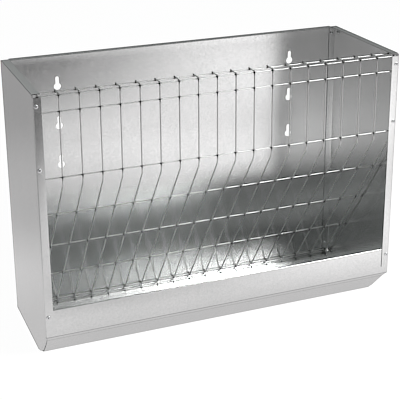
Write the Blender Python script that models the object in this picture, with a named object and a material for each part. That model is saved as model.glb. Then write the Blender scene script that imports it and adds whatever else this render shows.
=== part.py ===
"""Wall hay feeder: a folded sheet-metal trough with a back panel, two side panels and a wire grid.

The hay goes in at the top, between the back panel and the grid. The animals pull it out through
the grid, and what falls is caught by the trough. The feeder hangs on keyholes in its back panel.

X runs along the width, Y from front to back, Z up. The origin is at the bottom centre.
"""

import math

import bmesh
import bpy
from mathutils import Vector

MM = 0.001

# Overall size of the sheet-metal box
WIDTH = 600 * MM
DEPTH = 215 * MM
HEIGHT = 440 * MM

# Sheet metal
SHEET = 0.8 * MM
BEND_RADIUS = 1.6 * MM
FLANGE = 12.5 * MM
CORNER_RELIEF = 1.0 * MM
CLEARANCE = 0.3 * MM
BEND_STEPS = 4

# Trough: sloping front, upright lip and the shoulder where the lip passes behind the side flanges
SLOPE_RUN = 51 * MM
SLOPE_RISE = 51 * MM
LIP_HEIGHT = 97 * MM
SHOULDER_HEIGHT = 63 * MM
TRIM = 5.5 * MM
TRIM_RETURN = 10 * MM
TRIM_STEPS = 8

# Keyholes in the back panel, hung on screws
KEYHOLE_DIAMETER = 12 * MM
KEYHOLE_SLOT_WIDTH = 6 * MM
KEYHOLE_SLOT_LENGTH = 14 * MM
KEYHOLE_INSET = 90 * MM
KEYHOLE_DROP = 55 * MM
KEYHOLE_PITCH = 68 * MM
KEYHOLE_ROWS = 3
KEYHOLE_SLOT_STEPS = 8
KEYHOLE_ROUND_STEPS = 16

# Wire grid
WIRE_DIAMETER = 2.0 * MM
GRID_PITCH = 30.7 * MM
GRID_EDGE = 8.0 * MM
GRID_DROP = 3.0 * MM
FOLD_DEPTH = 19 * MM
FOLD_STUB = 3 * MM
GRID_BEND_DROP = 142 * MM
GRID_BEND_RADIUS = 8 * MM
GRID_FOOT_SETBACK = 2.6 * MM
GRID_FOOT_RISE = 1.6 * MM
SECOND_ROW_DROP = 27 * MM
THIRD_ROW_DROP = 128.5 * MM
SLOPE_ROW_START = 83.5 * MM
SLOPE_ROW_PITCH = 93 * MM
SLOPE_ROW_ROOM_SHARE = 0.5
CROSS_WIRE_STUB = 4 * MM
WIRE_BEND_STEPS = 5
WIRE_ROUNDNESS = 2

# Blind rivets
RIVET_DIAMETER = 3.2 * MM
RIVET_HEAD_DIAMETER = 6.4 * MM
RIVET_HEAD_HEIGHT = 0.8 * MM
RIVET_TAIL_DIAMETER = 4.6 * MM
RIVET_TAIL_LENGTH = 3.0 * MM
RIVET_RIM_HEIGHT = 0.3 * MM
MANDREL_DIAMETER = 1.8 * MM
MANDREL_DEPTH = 0.5 * MM
RIVET_SIDES = 12
RIVET_SMOOTH_ANGLE = math.radians(40)

# Where the rivets sit
FRONT_RIVET_INSET = 4.8 * MM
LIP_RIVET_DROP = 11 * MM
CLIP_RISE = 16.5 * MM
REAR_RIVET_INSET = 8 * MM
REAR_RIVET_DROP = 13 * MM
REAR_RIVET_RISE = 19.5 * MM
FLOOR_RIVET_INSET = 6 * MM
FLOOR_RIVET_SETBACK = 9 * MM
FLOOR_RIVET_FRONT_GAP = 14 * MM

# Clips that hold the grid's outer wires behind the side flanges
CLIP_HEIGHT = 12 * MM
CLIP_OVERHANG = 1.5 * MM

# How far a cutter runs past the sheet it cuts
OVERRUN = 2 * MM

# Places that follow from the sizes above
HALF_WIDTH = WIDTH / 2
REAR_Y = DEPTH / 2
FRONT_Y = -DEPTH / 2
RIVET_PROUD = RIVET_HEAD_HEIGHT + CLEARANCE
FLOOR_Z = RIVET_PROUD
TOP_Z = FLOOR_Z + HEIGHT
LAYER = SHEET + CLEARANCE
LIP_Y = FRONT_Y + LAYER
LIP_TOP_Z = FLOOR_Z + LIP_HEIGHT
SHOULDER_Z = FLOOR_Z + SHOULDER_HEIGHT
SIDE_REAR_Y = REAR_Y - LAYER
SIDE_BOTTOM_Z = FLOOR_Z + LAYER
LIP_HALF_WIDTH = HALF_WIDTH - BEND_RADIUS - CLEARANCE
HEM_HALF_WIDTH = HALF_WIDTH - FLANGE - CLEARANCE
WIRE_RADIUS = WIRE_DIAMETER / 2
WIRE_STEP = WIRE_DIAMETER + CLEARANCE
RIVET_HOLE_RADIUS = RIVET_DIAMETER / 2 + CLEARANCE
GRID_Y = FRONT_Y + LAYER + WIRE_RADIUS
CLIP_Y = GRID_Y + WIRE_RADIUS + CLEARANCE
SHEETS_GRIP = 2 * LAYER + CLEARANCE
CLIP_GRIP = CLIP_Y + LAYER - FRONT_Y
GRID_TOP_Z = TOP_Z - GRID_DROP
GRID_BEND_Z = TOP_Z - GRID_BEND_DROP
GRID_FOOT_Y = SIDE_REAR_Y - SHEET - GRID_FOOT_SETBACK
GRID_FOOT_Z = SIDE_BOTTOM_Z + SHEET + GRID_FOOT_RISE
SLOPE_VECTOR = Vector((0, GRID_FOOT_Y - GRID_Y, GRID_FOOT_Z - GRID_BEND_Z))
SLOPE_DIRECTION = SLOPE_VECTOR.normalized()
HAY_SIDE = Vector((0, -SLOPE_DIRECTION.z, SLOPE_DIRECTION.y))


def clear_scene():
    for item in list(bpy.data.objects):
        bpy.data.objects.remove(item, do_unlink=True)


def make_material(name, colour, roughness, metallic):
    material = bpy.data.materials.new(name)
    material.use_nodes = True
    shader = material.node_tree.nodes["Principled BSDF"]
    shader.inputs["Base Color"].default_value = (*colour, 1)
    shader.inputs["Roughness"].default_value = roughness
    shader.inputs["Metallic"].default_value = metallic
    return material


def add_object(name, data, material, location=(0, 0, 0)):
    item = bpy.data.objects.new(name, data)
    item.location = location
    if material is not None:
        data.materials.clear()
        data.materials.append(material)
    bpy.context.scene.collection.objects.link(item)
    return item


def mesh_from(bm, name):
    mesh = bpy.data.meshes.new(name)
    bm.to_mesh(mesh)
    bm.free()
    return mesh


def rounded_path(corners, radii, steps):
    """A flat (y, z) path through corners, each inner corner rounded by an arc of its radius."""
    path = [Vector(corners[0])]
    for index in range(1, len(corners) - 1):
        corner = Vector(corners[index])
        back = (Vector(corners[index - 1]) - corner).normalized()
        ahead = (Vector(corners[index + 1]) - corner).normalized()
        radius = radii[index - 1]
        half_angle = back.angle(ahead) / 2
        centre = corner + (back + ahead).normalized() * (radius / math.sin(half_angle))
        reach = radius / math.tan(half_angle)
        start = corner + back * reach - centre
        turn = start.angle_signed(corner + ahead * reach - centre)
        for step in range(steps + 1):
            angle = turn * step / steps
            turned = Vector((
                start.x * math.cos(angle) + start.y * math.sin(angle),
                start.y * math.cos(angle) - start.x * math.sin(angle),
            ))
            path.append(centre + turned)
    path.append(Vector(corners[-1]))
    return path


def add_solidify(item, thickness):
    solidify = item.modifiers.new("sheet thickness", "SOLIDIFY")
    solidify.thickness = thickness
    solidify.offset = -1
    solidify.use_even_offset = True


def add_cut(item, cutter):
    cutter.hide_render = True
    cutter.display_type = "WIRE"
    cut = item.modifiers.new("holes", "BOOLEAN")
    cut.operation = "DIFFERENCE"
    cut.solver = "EXACT"
    cut.object = cutter


def add_prism(bm, outline, direction, length):
    """A closed prism from a flat outline, extruded along direction by length."""
    base = [bm.verts.new(point) for point in outline]
    far = [bm.verts.new(Vector(point) + direction * length) for point in outline]
    faces = [bm.faces.new(list(reversed(base))), bm.faces.new(far)]
    for index, corner in enumerate(base):
        following = (index + 1) % len(base)
        faces.append(bm.faces.new((corner, base[following], far[following], far[index])))
    bmesh.ops.recalc_face_normals(bm, faces=faces)


def across_axes(axis):
    """Two directions square to an axis and to each other."""
    side = Vector((1, 0, 0)) if abs(axis.x) < abs(axis.y) + abs(axis.z) else Vector((0, 1, 0))
    return side, axis.cross(side)


def add_hole_cutter(bm, centre, axis, length):
    side, upward = across_axes(axis)
    outline = []
    for step in range(RIVET_SIDES):
        angle = 2 * math.pi * step / RIVET_SIDES
        spoke = side * math.cos(angle) + upward * math.sin(angle)
        outline.append(centre + spoke * RIVET_HOLE_RADIUS - axis * length / 2)
    add_prism(bm, outline, axis, length)


def keyhole_outline(x, z):
    """Round hole below, slot above, in the plane of the back panel."""
    round_radius = KEYHOLE_DIAMETER / 2
    slot_radius = KEYHOLE_SLOT_WIDTH / 2
    neck_angle = math.asin(slot_radius / round_radius)
    y = REAR_Y + OVERRUN
    outline = []
    sweep = 2 * math.pi - 2 * neck_angle
    for step in range(KEYHOLE_ROUND_STEPS + 1):
        angle = math.pi / 2 + neck_angle + sweep * step / KEYHOLE_ROUND_STEPS
        outline.append((x + round_radius * math.cos(angle), y, z + round_radius * math.sin(angle)))
    slot_z = z + KEYHOLE_SLOT_LENGTH
    for step in range(KEYHOLE_SLOT_STEPS + 1):
        angle = math.pi * step / KEYHOLE_SLOT_STEPS
        outline.append((x + slot_radius * math.cos(angle), y, slot_z + slot_radius * math.sin(angle)))
    return outline


def keyhole_places():
    places = []
    for side in (-1, 1):
        for row in range(KEYHOLE_ROWS):
            z = TOP_Z - KEYHOLE_DROP - row * KEYHOLE_PITCH
            places.append((side * (HALF_WIDTH - KEYHOLE_INSET), z))
    return places


def trim_inset(share):
    """How far the sloping front's end is cut back: a quarter ellipse from the lip down to the floor."""
    return TRIM * math.sqrt(1 - (1 - share) ** 2)


def body_rows():
    """The body sheet's outer face as rows: (y, z), half width above the row, half width below it.

    The wall rows bound the flat face of the back panel that lies between the rivets.
    """
    corners = [
        (REAR_Y - FLANGE, TOP_Z),
        (REAR_Y, TOP_Z),
        (REAR_Y, FLOOR_Z),
        (FRONT_Y + SLOPE_RUN, FLOOR_Z),
        (LIP_Y, FLOOR_Z + SLOPE_RISE),
        (LIP_Y, LIP_TOP_Z),
        (LIP_Y + FLANGE, LIP_TOP_Z),
    ]
    path = rounded_path(corners, [BEND_RADIUS] * (len(corners) - 2), BEND_STEPS)
    bend = BEND_STEPS + 1
    hem, back, floor, slope, lip = (path[1 + bend * place:1 + bend * (place + 1)] for place in range(5))

    rows = [(path[0], HEM_HALF_WIDTH, HEM_HALF_WIDTH)]
    rows += [(point, HEM_HALF_WIDTH, HEM_HALF_WIDTH) for point in hem[:-1]]
    rows.append((hem[-1], HEM_HALF_WIDTH, HALF_WIDTH))
    wall_rows = [
        (REAR_Y, TOP_Z - REAR_RIVET_DROP - RIVET_HEAD_DIAMETER),
        (REAR_Y, FLOOR_Z + REAR_RIVET_RISE + RIVET_HEAD_DIAMETER),
    ]
    rows += [(Vector(point), HALF_WIDTH, HALF_WIDTH) for point in wall_rows]
    rows += [(point, HALF_WIDTH, HALF_WIDTH) for point in back]
    rows.append((floor[0] + Vector((TRIM_RETURN, 0)), HALF_WIDTH, HALF_WIDTH))
    rows += [(point, HALF_WIDTH - TRIM, HALF_WIDTH - TRIM) for point in floor]
    for step in range(1, TRIM_STEPS):
        share = step / TRIM_STEPS
        width = HALF_WIDTH - trim_inset(1 - share)
        rows.append((floor[-1].lerp(slope[0], share), width, width))
    rows += [(point, HALF_WIDTH, HALF_WIDTH) for point in slope]
    rows.append((Vector((LIP_Y, SHOULDER_Z)), HALF_WIDTH, LIP_HALF_WIDTH))
    rows += [(point, LIP_HALF_WIDTH, LIP_HALF_WIDTH) for point in lip]
    rows.append((path[-1], LIP_HALF_WIDTH, LIP_HALF_WIDTH))
    return rows


def add_body_sheet(material):
    bm = bmesh.new()
    rows = body_rows()
    edges = []
    for point, before, after in rows:
        places = {}
        for half_width in (before, after):
            for side in (-1, 1):
                if (side, half_width) not in places:
                    place = (side * half_width, point.x, point.y)
                    places[(side, half_width)] = bm.verts.new(place)
        edges.append(places)
    for index in range(len(rows) - 1):
        before, after = rows[index][1:]
        near = [edges[index][(-1, after)], edges[index][(1, after)]]
        if before < after:
            near[1:1] = [edges[index][(-1, before)], edges[index][(1, before)]]
        before, after = rows[index + 1][1:]
        far = [edges[index + 1][(1, before)], edges[index + 1][(-1, before)]]
        if after < before:
            far[1:1] = [edges[index + 1][(1, after)], edges[index + 1][(-1, after)]]
        bm.faces.new(near + far)
    body = add_object("body_sheet", mesh_from(bm, "body_sheet"), material)
    add_solidify(body, SHEET)

    cutter = bmesh.new()
    depth = SHEET + 2 * OVERRUN
    for x, z in keyhole_places():
        add_prism(cutter, keyhole_outline(x, z), Vector((0, -1, 0)), depth)
    for side in (-1, 1):
        for place in rear_rivet_places(side) + floor_rivet_places(side) + lip_rivet_places(side):
            add_hole_cutter(cutter, place["seat"], place["axis"], depth + 2 * LAYER)
    add_cut(body, add_object("body_sheet_cutter", mesh_from(cutter, "body_sheet_cutter"), None))


def line_crossing(point_a, direction_a, point_b, direction_b):
    """Where two flat lines cross."""
    across = direction_a.x * direction_b.y - direction_a.y * direction_b.x
    gap = point_b - point_a
    share = (gap.x * direction_b.y - gap.y * direction_b.x) / across
    return point_a + direction_a * share


def side_outline():
    """The side panel's outer corners in (y, z), and whether the edge after each has a flange."""
    slope_top = Vector((LIP_Y, FLOOR_Z + SLOPE_RISE))
    slope_foot = Vector((FRONT_Y + SLOPE_RUN, FLOOR_Z))
    along = (slope_foot - slope_top).normalized()
    inward = Vector((-along.y, along.x))
    slope_point = slope_top + inward * LAYER
    flat = Vector((1, 0))
    upright = Vector((0, 1))
    low_front = Vector((LIP_Y + LAYER, SHOULDER_Z + CLEARANCE))
    bottom_rear = Vector((SIDE_REAR_Y, SIDE_BOTTOM_Z))
    return [
        (Vector((SIDE_REAR_Y, TOP_Z)), True),
        (Vector((FRONT_Y, TOP_Z)), True),
        (Vector((FRONT_Y, SHOULDER_Z + CLEARANCE)), False),
        (low_front, False),
        (line_crossing(low_front, upright, slope_point, along), True),
        (line_crossing(slope_point, along, bottom_rear, flat), True),
        (bottom_rear, True),
    ]


def side_flat_corners(outline):
    """The flat part of the side panel: flanged edges are drawn in by the bend radius."""
    count = len(outline)
    lines = []
    for index, (corner, flanged) in enumerate(outline):
        direction = (outline[(index + 1) % count][0] - corner).normalized()
        inward = Vector((-direction.y, direction.x))
        lines.append((corner + inward * (BEND_RADIUS if flanged else 0), direction))
    return [line_crossing(*lines[index - 1], *lines[index]) for index in range(count)]


def add_side_panel(name, side, material):
    outline = side_outline()
    corners = side_flat_corners(outline)
    count = len(corners)
    outer_x = side * HALF_WIDTH
    bm = bmesh.new()
    ring = []
    strips = []
    for index in range(count):
        start, end = corners[index], corners[(index + 1) % count]
        first = bm.verts.new((outer_x, start.x, start.y))
        ring.append(first)
        if outline[index][1]:
            direction = (end - start).normalized()
            start_relief = CORNER_RELIEF if outline[index - 1][1] else CORNER_RELIEF + BEND_RADIUS
            end_relief = CORNER_RELIEF if outline[(index + 1) % count][1] else CLEARANCE
            ends = (start + direction * start_relief, end - direction * end_relief)
            pair = [bm.verts.new((outer_x, point.x, point.y)) for point in ends]
            ring.extend(pair)
            strips.append((pair, ends, Vector((direction.y, -direction.x))))
    for previous, ends, outward in strips:
        for step in range(1, BEND_STEPS + 2):
            angle = math.pi / 2 * min(step, BEND_STEPS) / BEND_STEPS
            reach = outward * (BEND_RADIUS * math.sin(angle))
            inset = FLANGE if step > BEND_STEPS else BEND_RADIUS * (1 - math.cos(angle))
            x = side * (HALF_WIDTH - inset)
            row = [bm.verts.new((x, point.x + reach.x, point.y + reach.y)) for point in ends]
            face = (previous[0], previous[1], row[1], row[0])
            bm.faces.new(face if side < 0 else tuple(reversed(face)))
            previous = row
    bm.faces.new(ring if side > 0 else list(reversed(ring)))
    panel = add_object(name, mesh_from(bm, name), material)
    add_solidify(panel, SHEET)

    cutter = bmesh.new()
    places = rear_rivet_places(side) + floor_rivet_places(side) + lip_rivet_places(side)
    for place in places + clip_rivet_places(side):
        add_hole_cutter(cutter, place["seat"], place["axis"], 2 * (OVERRUN + LAYER))
    cutter_name = name + "_cutter"
    add_cut(panel, add_object(cutter_name, mesh_from(cutter, cutter_name), None))


def upright_row_heights():
    """The cross wires on the upright part of the grid, from the fold down."""
    return [GRID_TOP_Z - drop for drop in (WIRE_STEP, SECOND_ROW_DROP, THIRD_ROW_DROP)]


def clip_heights():
    fold_row, second_row, third_row = upright_row_heights()
    return {"top": (fold_row + second_row) / 2, "middle": third_row + CLIP_RISE}


def clip_rivet_places(side):
    x = side * (HALF_WIDTH - FRONT_RIVET_INSET)
    return [
        {"name": level, "seat": Vector((x, FRONT_Y, z)), "axis": Vector((0, -1, 0))}
        for level, z in clip_heights().items()
    ]


def lip_rivet_places(side):
    x = side * (HALF_WIDTH - FRONT_RIVET_INSET)
    seat = Vector((x, FRONT_Y, LIP_TOP_Z - LIP_RIVET_DROP))
    return [{"name": "lip", "seat": seat, "axis": Vector((0, -1, 0))}]


def rear_rivet_places(side):
    x = side * (HALF_WIDTH - REAR_RIVET_INSET)
    heights = {"top": TOP_Z - REAR_RIVET_DROP, "foot": FLOOR_Z + REAR_RIVET_RISE}
    return [
        {"name": level, "seat": Vector((x, REAR_Y, z)), "axis": Vector((0, 1, 0))}
        for level, z in heights.items()
    ]


def floor_rivet_places(side):
    x = side * (HALF_WIDTH - FLOOR_RIVET_INSET)
    front = FRONT_Y + SLOPE_RUN + FLOOR_RIVET_FRONT_GAP
    depths = {"rear": REAR_Y - FLOOR_RIVET_SETBACK, "front": front}
    return [
        {"name": level, "seat": Vector((x, y, FLOOR_Z)), "axis": Vector((0, 0, -1))}
        for level, y in depths.items()
    ]


def rivet_mesh(grip):
    """A set blind rivet along +Z: its head above the seat, its shank and its bulb below it."""
    tail = RIVET_TAIL_DIAMETER / 2
    profile = [
        (0, RIVET_PROUD - MANDREL_DEPTH),
        (MANDREL_DIAMETER / 2, RIVET_PROUD - MANDREL_DEPTH),
        (MANDREL_DIAMETER / 2, RIVET_PROUD),
        (RIVET_TAIL_DIAMETER / 2, RIVET_PROUD),
        (RIVET_HEAD_DIAMETER / 2, CLEARANCE + RIVET_RIM_HEIGHT),
        (RIVET_HEAD_DIAMETER / 2, CLEARANCE),
        (RIVET_DIAMETER / 2, CLEARANCE),
        (RIVET_DIAMETER / 2, -grip),
        (tail, -grip - RIVET_RIM_HEIGHT),
        (tail, -grip - RIVET_TAIL_LENGTH / 2),
        (MANDREL_DIAMETER / 2, -grip - RIVET_TAIL_LENGTH),
        (0, -grip - RIVET_TAIL_LENGTH),
    ]
    bm = bmesh.new()
    rings = []
    for radius, height in profile:
        if radius == 0:
            rings.append([bm.verts.new((0, 0, height))])
            continue
        ring = []
        for step in range(RIVET_SIDES):
            angle = 2 * math.pi * step / RIVET_SIDES
            ring.append(bm.verts.new((radius * math.cos(angle), radius * math.sin(angle), height)))
        rings.append(ring)
    for upper, lower in zip(rings, rings[1:]):
        for step in range(RIVET_SIDES):
            following = (step + 1) % RIVET_SIDES
            corners = [upper[step % len(upper)], lower[step % len(lower)]]
            if len(lower) > 1:
                corners.append(lower[following])
            if len(upper) > 1:
                corners.append(upper[following])
            bm.faces.new(corners)
    bmesh.ops.recalc_face_normals(bm, faces=bm.faces)
    mesh = mesh_from(bm, "rivet")
    mesh.shade_smooth()
    mesh.set_sharp_from_angle(angle=RIVET_SMOOTH_ANGLE)
    return mesh


def add_rivets(material):
    sheet_rivet = rivet_mesh(SHEETS_GRIP)
    clip_rivet = rivet_mesh(CLIP_GRIP)
    for side, side_name in ((-1, "left"), (1, "right")):
        groups = [
            ("front_rivet", clip_rivet_places(side), clip_rivet),
            ("front_rivet", lip_rivet_places(side), sheet_rivet),
            ("rear_rivet", rear_rivet_places(side), sheet_rivet),
            ("floor_rivet", floor_rivet_places(side), sheet_rivet),
        ]
        for group, places, mesh in groups:
            for place in places:
                name = f"{group}_{side_name}_{place['name']}"
                rivet = add_object(name, mesh, material, place["seat"])
                rivet.rotation_mode = "QUATERNION"
                rivet.rotation_quaternion = place["axis"].to_track_quat("Z", "Y")


def clip_outline():
    """The clip seen from above, for the right side: its leg by the side panel, its arm over the wire."""
    leg_x = HALF_WIDTH - BEND_RADIUS - CLEARANCE
    arm_x = HALF_WIDTH - GRID_EDGE - WIRE_RADIUS - CLIP_OVERHANG
    leg_y = FRONT_Y + LAYER
    return [
        (leg_x, leg_y),
        (leg_x, CLIP_Y + SHEET),
        (arm_x, CLIP_Y + SHEET),
        (arm_x, CLIP_Y),
        (leg_x - SHEET, CLIP_Y),
        (leg_x - SHEET, leg_y),
    ]


def add_clips(material):
    for side, side_name in ((-1, "left"), (1, "right")):
        for place in clip_rivet_places(side):
            name = f"grid_clip_{side_name}_{place['name']}"
            low_z = place["seat"].z - CLIP_HEIGHT / 2
            bm = bmesh.new()
            outline = [(side * x, y, low_z) for x, y in clip_outline()]
            add_prism(bm, outline, Vector((0, 0, 1)), CLIP_HEIGHT)
            clip = add_object(name, mesh_from(bm, name), material)
            cutter = bmesh.new()
            add_hole_cutter(cutter, place["seat"], place["axis"], 2 * (OVERRUN + CLIP_GRIP))
            cutter_name = name + "_cutter"
            add_cut(clip, add_object(cutter_name, mesh_from(cutter, cutter_name), None))


def wire_curve(name, points):
    curve = bpy.data.curves.new(name, "CURVE")
    curve.dimensions = "3D"
    curve.bevel_depth = WIRE_RADIUS
    curve.bevel_resolution = WIRE_ROUNDNESS
    curve.use_fill_caps = True
    spline = curve.splines.new("POLY")
    spline.points.add(len(points) - 1)
    for target, point in zip(spline.points, points):
        target.co = (*point, 1)
    return curve


def upright_wire_path():
    corners = [
        (GRID_Y + FOLD_DEPTH + FOLD_STUB, GRID_TOP_Z),
        (GRID_Y, GRID_TOP_Z),
        (GRID_Y, GRID_BEND_Z),
        (GRID_FOOT_Y, GRID_FOOT_Z),
    ]
    flat = rounded_path(corners, [WIRE_STEP, GRID_BEND_RADIUS], WIRE_BEND_STEPS)
    return [(0, point.x, point.y) for point in flat]


def upright_wire_places():
    """The uprights run from edge to edge at the whole number of spaces nearest to the pitch."""
    span = WIDTH - 2 * GRID_EDGE
    spaces = round(span / GRID_PITCH)
    return [span * index / spaces - span / 2 for index in range(spaces + 1)]


def cross_wire_places():
    """The (y, z) centres of the cross wires, which lie on the hay side of the uprights."""
    places = [(GRID_Y + FOLD_DEPTH, GRID_TOP_Z - WIRE_STEP)]
    places += [(GRID_Y + WIRE_STEP, z) for z in upright_row_heights()]
    foot_distance = SLOPE_VECTOR.length - WIRE_RADIUS - CLEARANCE
    room = foot_distance - SLOPE_ROW_START - SLOPE_ROW_PITCH * SLOPE_ROW_ROOM_SHARE
    distances = [SLOPE_ROW_START + SLOPE_ROW_PITCH * row for row in range(int(room / SLOPE_ROW_PITCH) + 1)]
    bend = Vector((0, GRID_Y, GRID_BEND_Z))
    for distance in distances + [foot_distance]:
        centre = bend + SLOPE_DIRECTION * distance + HAY_SIDE * WIRE_STEP
        places.append((centre.y, centre.z))
    return places


def add_grid(material):
    upright = wire_curve("upright_wire", upright_wire_path())
    for number, x in enumerate(upright_wire_places(), start=1):
        add_object(f"upright_wire_{number:02d}", upright, material, (x, 0, 0))
    reach = HALF_WIDTH - GRID_EDGE + CROSS_WIRE_STUB
    cross = wire_curve("cross_wire", [(-reach, 0, 0), (reach, 0, 0)])
    for number, (y, z) in enumerate(cross_wire_places(), start=1):
        add_object(f"cross_wire_{number}", cross, material, (0, y, z))


def build():
    clear_scene()
    galvanised = make_material("galvanised sheet", (0.62, 0.64, 0.64), 0.38, 1.0)
    zinc_wire = make_material("zinc plated wire", (0.56, 0.57, 0.56), 0.32, 1.0)
    aluminium = make_material("aluminium rivet", (0.74, 0.75, 0.76), 0.3, 1.0)
    add_body_sheet(galvanised)
    add_side_panel("left_side_panel", -1, galvanised)
    add_side_panel("right_side_panel", 1, galvanised)
    add_clips(galvanised)
    add_grid(zinc_wire)
    add_rivets(aluminium)


build()
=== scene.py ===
"""Looks of the wall hay feeder: galvanised sheet, zinc-plated welded wire and aluminium blind rivets."""

import math
import random

import bmesh
import bpy
from mathutils import Matrix, Vector, noise


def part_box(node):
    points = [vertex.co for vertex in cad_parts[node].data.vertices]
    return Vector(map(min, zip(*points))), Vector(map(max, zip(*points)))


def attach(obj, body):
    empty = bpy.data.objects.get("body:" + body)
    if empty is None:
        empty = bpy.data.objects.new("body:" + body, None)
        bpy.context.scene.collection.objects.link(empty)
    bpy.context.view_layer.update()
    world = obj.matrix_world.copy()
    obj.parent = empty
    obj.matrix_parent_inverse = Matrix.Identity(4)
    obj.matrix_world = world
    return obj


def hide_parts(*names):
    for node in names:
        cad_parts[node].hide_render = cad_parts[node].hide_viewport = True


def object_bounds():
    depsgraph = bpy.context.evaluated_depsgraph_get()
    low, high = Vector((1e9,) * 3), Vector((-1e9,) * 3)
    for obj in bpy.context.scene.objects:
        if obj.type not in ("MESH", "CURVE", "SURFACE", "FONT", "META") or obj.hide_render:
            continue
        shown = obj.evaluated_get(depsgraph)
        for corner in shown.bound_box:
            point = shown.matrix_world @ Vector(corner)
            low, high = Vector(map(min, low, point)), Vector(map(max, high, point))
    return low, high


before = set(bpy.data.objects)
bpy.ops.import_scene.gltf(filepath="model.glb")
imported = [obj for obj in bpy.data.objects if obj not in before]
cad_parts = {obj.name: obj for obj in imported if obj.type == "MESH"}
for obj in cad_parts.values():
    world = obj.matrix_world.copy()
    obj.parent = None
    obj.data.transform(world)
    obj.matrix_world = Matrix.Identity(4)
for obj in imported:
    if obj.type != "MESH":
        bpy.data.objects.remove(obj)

MM = 0.001
cad_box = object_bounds()

# Sheet metal
SHEET = 0.8 * MM
CLEARANCE = 0.3 * MM
BEND_RADIUS = 1.6 * MM
FLANGE = 12.5 * MM
CORNER_RELIEF = 3.0 * MM
SLOPE_RUN = 51 * MM
SLOPE_RISE = 51 * MM
SHOULDER_HEIGHT = 63 * MM
LIP_RISE = 97 * MM
TRIM = 5.5 * MM
TRIM_RETURN = 10 * MM
BEND_STEPS = 8
TRIM_STEPS = 14
LAYER = SHEET + CLEARANCE
SHEET_SHARP_ANGLE = math.radians(35)

# A groove that the press leaves beside the long front bend, darker lines in the colour at that bend and
# beside it, and how much the flat sheets wave
MARK_GAP = 13 * MM
DARK_LINE_WIDTH = 1.6 * MM
DARK_LINE_COLOUR = (0.42, 0.425, 0.42)
MARK_WIDTH = 1.8 * MM
MARK_DEPTH = 0.3 * MM
CELL = 16 * MM
WAVE = 0.22 * MM
WAVE_LENGTH = 130 * MM
WAVE_MARGIN = 45 * MM
BACK_SEED = 3.1
FLOOR_SEED = 7.7
SIDE_SEED = 11.3

# Keyholes
KEYHOLE_DIAMETER = 12 * MM
KEYHOLE_SLOT_WIDTH = 6 * MM
KEYHOLE_SLOT_LENGTH = 14 * MM
KEYHOLE_INSET = 90 * MM
KEYHOLE_DROP = 55 * MM
KEYHOLE_PITCH = 68 * MM
KEYHOLE_ROWS = 3
KEYHOLE_STEPS = 28
OVERRUN = 2 * MM
CUT_TOLERANCE = 0.01 * MM

# Wire grid
WIRE_RADIUS = 1.0 * MM
WIRE_STEP = 2 * WIRE_RADIUS + CLEARANCE
FOLD_STUB = 3 * MM
FOLD_DEPTH = 19 * MM
UPRIGHT_COUNT = 20
CROSS_COUNT = 8
GRID_BEND_DROP = 142 * MM
GRID_BEND_RADIUS = 8 * MM
GRID_FOOT_SETBACK = 2.6 * MM
GRID_FOOT_RISE = 1.6 * MM
WIRE_SIDES = 14
WIRE_SHARP_ANGLE = math.radians(60)
WIRE_END_REACH_SHARE = 0.25
WIRE_END_RADIUS_SHARE = 0.72
WIRE_BEND_STEPS = 10
WIRE_SPACING = 7 * MM
WIRE_WOBBLE = 0.12 * MM
WOBBLE_LENGTH = 90 * MM
WOBBLE_APART = 5
UPRIGHT_SEED = 1.7
CROSS_SEED = 3.3

# Welds: how far they heat the wire, which gets closer points there, the beads' radii, and how they differ
WELD_REACH = 2.5 * MM
WELD_REACH_SHARES = (-1, -0.55, 0, 0.55, 1)
WELD_NEAR = 1.2 * WIRE_STEP
WELD_LENGTH = 1.5 * MM
WELD_WIDTH = 1.4 * MM
WELD_HEIGHT = 1.3 * MM
WELD_SIZE_SHARES = (0.85, 1.12)
WELD_LEAN_SHARE = 0.25
WELD_LUMP_SHARE = 0.12
WELD_LUMPS = 1.7
WELD_TURNS = 10

# Blind rivets
RIVET_HOLE_RADIUS = 1.9 * MM
RIVET_RADIUS = 1.6 * MM
RIVET_HEAD_RADIUS = 3.2 * MM
RIVET_HEAD_HEIGHT = 0.8 * MM
RIVET_TAIL_RADIUS = 2.3 * MM
RIVET_TAIL_LENGTH = 3.0 * MM
MANDREL_RADIUS = 0.9 * MM
MANDREL_DEPTH = 0.5 * MM
RIVET_SIDES = 28
RIVET_STEPS = 8
RIVET_RIM_SHARE = 0.25
RIVET_BULB_SHARE = 0.8
RIVET_SHARP_ANGLE = math.radians(50)

# Each metal has a plain colour and roughness, which its nodes replace by a range from dark to light and
# from smooth to dull. The sizes and depths are those of its grain.
SHEET_PLAIN = ((0.77, 0.775, 0.775), 0.25)
CRYSTAL_SIZE = 3.2 * MM
GRAIN_SIZE = 2.2 * MM
STREAK_WIDTH = 1.8 * MM
STREAK_STRETCH = (1, 1, 0.03)
CLOUD_SIZE = 70 * MM
STREAK_DEPTH = 0.004 * MM
GRAIN_DEPTH = 0.003 * MM
ZINC_DARK = (0.70, 0.71, 0.706)
ZINC_LIGHT = (0.81, 0.812, 0.81)
ZINC_ROUGHNESS = (0.19, 0.225)
CLOUD_ROUGHNESS = 0.025
EDGE_PLAIN = ((0.52, 0.53, 0.53), 0.4)
SCORE_SIZE = 0.5 * MM
# The cut edges are painted much darker than bare steel, as painted shade of the gaps between the sheets
EDGE_DARK = (0.16, 0.165, 0.165)
EDGE_LIGHT = (0.3, 0.31, 0.31)
EDGE_ROUGHNESS = (0.32, 0.5)
WIRE_PLAIN = ((0.6, 0.61, 0.6), 0.28)
WIRE_GRAIN_SIZE = 1.1 * MM
WIRE_GRAIN_DEPTH = 0.012 * MM
WIRE_DARK = (0.64, 0.645, 0.64)
WIRE_LIGHT = (0.78, 0.785, 0.78)
WIRE_ROUGHNESS = (0.29, 0.35)
BURNT = (0.05, 0.05, 0.048)
BURNT_SHARE = 0.92
WELD_PLAIN = ((0.1, 0.1, 0.1), 0.5)
SOOT_SIZE = 0.9 * MM
SOOT_DEPTH = 0.05 * MM
SOOT_LIGHT = (0.17, 0.168, 0.16)
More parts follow.
